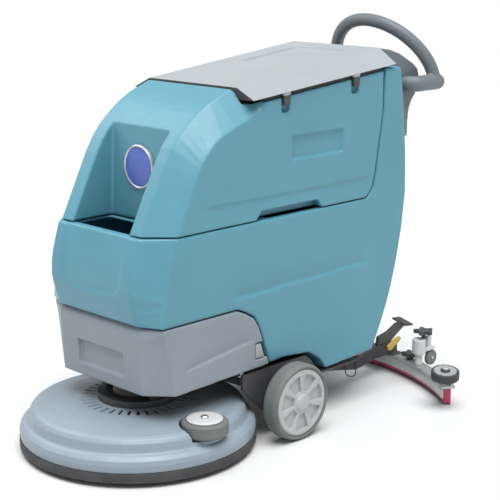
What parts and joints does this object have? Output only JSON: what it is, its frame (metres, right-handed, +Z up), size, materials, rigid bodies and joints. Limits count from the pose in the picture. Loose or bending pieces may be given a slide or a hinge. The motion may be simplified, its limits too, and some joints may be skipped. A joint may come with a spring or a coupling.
{
  "type": "floor scrubber",
  "caption": "Walk-behind wet and dry floor scrubber with a disc brush deck, stacked clean and dirty water tanks, a hinged lid, a loop handle and a curved lifting squeegee.",
  "frame": {"origin": "on the floor, at the middle of the machine's outline seen from above", "axes": "+Z up, the brush deck towards -Y, the handle and squeegee towards +Y, the side with the guide roller towards +X"},
  "size_m": [0.827, 1.2009, 0.974],
  "materials": {
    "blue_plastic": "moulded blue-green polyethylene, satin with a fine grain",
    "lid_plastic": "moulded light grey plastic, satin",
    "cover_plastic": "moulded slate grey plastic, satin",
    "deck_plastic": "moulded blue-grey plastic, satin",
    "console_plastic": "moulded dark grey plastic with a grain",
    "black_rubber": "matt black rubber",
    "grey_tyre": "matt grey non-marking rubber",
    "hub_plastic": "moulded light grey nylon",
    "white_plastic": "moulded off-white plastic",
    "black_steel": "black powder-coated steel",
    "bright_steel": "bright zinc-plated steel",
    "cast_metal": "cast aluminium, lightly tumbled",
    "red_blade": "crimson squeegee rubber",
    "black_plastic": "moulded black plastic",
    "yellow_plastic": "moulded yellow plastic",
    "red_plastic": "moulded red plastic",
    "emblem_blue": "glossy domed blue disc with a silver edge and no lettering",
    "gauge_lens": "dark glossy display lens",
    "bristle": "dense nylon bristle ring",
    "battery_case": "moulded black battery case"
  },
  "bodies": {
    "chassis": {"chassis_frame": "black_steel", "deck_pivot_pin": "bright_steel", "wheel_axle": "bright_steel", "motor_cover": "cover_plastic", "cover_latch_left": "white_plastic", "cover_latch_right": "white_plastic", "solution_tank": "blue_plastic", "battery_left": "battery_case", "battery_right": "battery_case", "vacuum_motor": "black_plastic", "suction_inlet": "black_plastic", "tank_hinge_pin": "bright_steel", "console_housing": "console_plastic", "control_panel": "black_plastic", "battery_gauge": "gauge_lens", "handle_bar": "console_plastic"},
    "deck": {"deck_cover": "deck_plastic", "deck_skirt": "black_rubber", "brush_motor": "black_steel", "deck_arm": "black_steel", "guide_roller_pin": "bright_steel"},
    "brush": {"brush_block": "black_plastic", "brush_bristles": "bristle"},
    "deck_guide_roller": {"guide_roller": "grey_tyre"},
    "wheel_left": {"tyre_left": "grey_tyre", "hub_left": "hub_plastic"},
    "wheel_right": {"tyre_right": "grey_tyre", "hub_right": "hub_plastic"},
    "caster_swivel": {"caster_fork": "bright_steel"},
    "caster_wheel": {"caster_wheel": "black_rubber"},
    "tank": {"recovery_tank": "blue_plastic", "rim_gasket": "black_rubber", "emblem_disc": "emblem_blue", "float_cage": "white_plastic"},
    "lid": {"recovery_lid": "lid_plastic"},
    "brush_button": {"brush_button": "white_plastic"},
    "vacuum_button": {"vacuum_button": "white_plastic"},
    "water_button": {"water_button": "white_plastic"},
    "emergency_stop": {"emergency_stop": "red_plastic"},
    "key": {"key_switch": "bright_steel"},
    "squeegee": {"squeegee_arm": "black_steel", "suction_spigot": "black_plastic", "lift_pedal": "black_steel", "squeegee_casting": "cast_metal", "front_blade": "red_blade", "rear_blade": "red_blade", "blade_strap": "cast_metal", "caster_adjuster_left": "white_plastic", "caster_adjuster_right": "white_plastic"},
    "lift_latch": {"lift_latch": "yellow_plastic"},
    "end_roller_left": {"end_roller_left": "black_rubber"},
    "end_roller_right": {"end_roller_right": "black_rubber"},
    "squeegee_wheel_left": {"squeegee_wheel_left": "grey_tyre"},
    "squeegee_wheel_right": {"squeegee_wheel_right": "grey_tyre"},
    "adjuster_knob_left": {"adjuster_knob_left": "black_plastic"},
    "adjuster_knob_right": {"adjuster_knob_right": "black_plastic"},
    "clamp_knob_left": {"clamp_knob_left": "black_plastic"},
    "clamp_knob_right": {"clamp_knob_right": "black_plastic"}
  },
  "joints": [
    {"name": "deck_lift", "type": "hinge", "parent": "chassis", "child": "deck", "pos_m": [0, -0.0955, 0.144], "axis": [-1, 0, 0], "range_deg": [0, 6]},
    {"name": "brush_spin", "type": "hinge", "parent": "deck", "child": "brush", "pos_m": [0, -0.3205, 0], "axis": [0, 0, 1], "continuous": true},
    {"name": "guide_roller_spin", "type": "hinge", "parent": "deck", "child": "deck_guide_roller", "pos_m": [0.231, -0.3205, 0.085], "axis": [0, 0, 1], "continuous": true},
    {"name": "wheel_left_spin", "type": "hinge", "parent": "chassis", "child": "wheel_left", "pos_m": [0.2485, -0.0395, 0.0935], "axis": [1, 0, 0], "continuous": true},
    {"name": "wheel_right_spin", "type": "hinge", "parent": "chassis", "child": "wheel_right", "pos_m": [-0.2485, -0.0395, 0.0935], "axis": [1, 0, 0], "continuous": true},
    {"name": "caster_swivel", "type": "hinge", "parent": "chassis", "child": "caster_swivel", "pos_m": [0, 0.2095, 0.1], "axis": [0, 0, 1], "continuous": true},
    {"name": "caster_spin", "type": "hinge", "parent": "caster_swivel", "child": "caster_wheel", "pos_m": [0, 0.2275, 0.0375], "axis": [1, 0, 0], "continuous": true},
    {"name": "tank_tilt", "type": "hinge", "parent": "chassis", "child": "tank", "pos_m": [-0.2035, 0.0295, 0.5355], "axis": [0, -1, 0], "range_deg": [0, 75]},
    {"name": "lid_hinge", "type": "hinge", "parent": "tank", "child": "lid", "pos_m": [0.196, 0.0895, 0.81348], "axis": [0, 0.9954, 0.0958], "range_deg": [0, 100]},
    {"name": "brush_button_press", "type": "slide", "parent": "chassis", "child": "brush_button", "axis": [0, -0.3271, -0.945], "range_m": [0, 0.003], "stiffness_N_per_m": 400},
    {"name": "vacuum_button_press", "type": "slide", "parent": "chassis", "child": "vacuum_button", "axis": [0, -0.3271, -0.945], "range_m": [0, 0.003], "stiffness_N_per_m": 400},
    {"name": "water_button_press", "type": "slide", "parent": "chassis", "child": "water_button", "axis": [0, -0.3271, -0.945], "range_m": [0, 0.003], "stiffness_N_per_m": 400},
    {"name": "emergency_stop_press", "type": "slide", "parent": "chassis", "child": "emergency_stop", "axis": [0, -0.3271, -0.945], "range_m": [0, 0.004], "stiffness_N_per_m": 800},
    {"name": "key_turn", "type": "hinge", "parent": "chassis", "child": "key", "pos_m": [-0.04, 0.44484, 0.85808], "axis": [0, 0.3271, 0.945], "range_deg": [0, 90]},
    {"name": "squeegee_lift", "type": "hinge", "parent": "chassis", "child": "squeegee", "pos_m": [0, 0.1795, 0.088], "axis": [1, 0, 0], "range_deg": [0, 14]},
    {"name": "lift_latch_turn", "type": "hinge", "parent": "squeegee", "child": "lift_latch", "pos_m": [0.1095, 0.4845, 0.077], "axis": [-1, 0, 0], "range_deg": [0, 40]},
    {"name": "end_roller_left_spin", "type": "hinge", "parent": "squeegee", "child": "end_roller_left", "pos_m": [0.376, 0.3795, 0.082], "axis": [0.1106, -0.1106, 0.9877], "continuous": true},
    {"name": "end_roller_right_spin", "type": "hinge", "parent": "squeegee", "child": "end_roller_right", "pos_m": [-0.376, 0.3795, 0.082], "axis": [-0.1106, -0.1106, 0.9877], "continuous": true},
    {"name": "squeegee_wheel_left_spin", "type": "hinge", "parent": "squeegee", "child": "squeegee_wheel_left", "pos_m": [0.224, 0.5191, 0.067], "axis": [1, 0, 0], "continuous": true},
    {"name": "squeegee_wheel_right_spin", "type": "hinge", "parent": "squeegee", "child": "squeegee_wheel_right", "pos_m": [-0.224, 0.5191, 0.067], "axis": [1, 0, 0], "continuous": true},
    {"name": "adjuster_knob_left_turn", "type": "hinge", "parent": "squeegee", "child": "adjuster_knob_left", "pos_m": [0.217, 0.495, 0.143], "axis": [0, 0, 1], "continuous": true},
    {"name": "adjuster_knob_right_turn", "type": "hinge", "parent": "squeegee", "child": "adjuster_knob_right", "pos_m": [-0.217, 0.495, 0.143], "axis": [0, 0, 1], "continuous": true},
    {"name": "clamp_knob_left_turn", "type": "hinge", "parent": "squeegee", "child": "clamp_knob_left", "pos_m": [0.166, 0.5055, 0.065], "axis": [0, 0, 1], "continuous": true},
    {"name": "clamp_knob_right_turn", "type": "hinge", "parent": "squeegee", "child": "clamp_knob_right", "pos_m": [-0.166, 0.5055, 0.065], "axis": [0, 0, 1], "continuous": true}
  ]
}
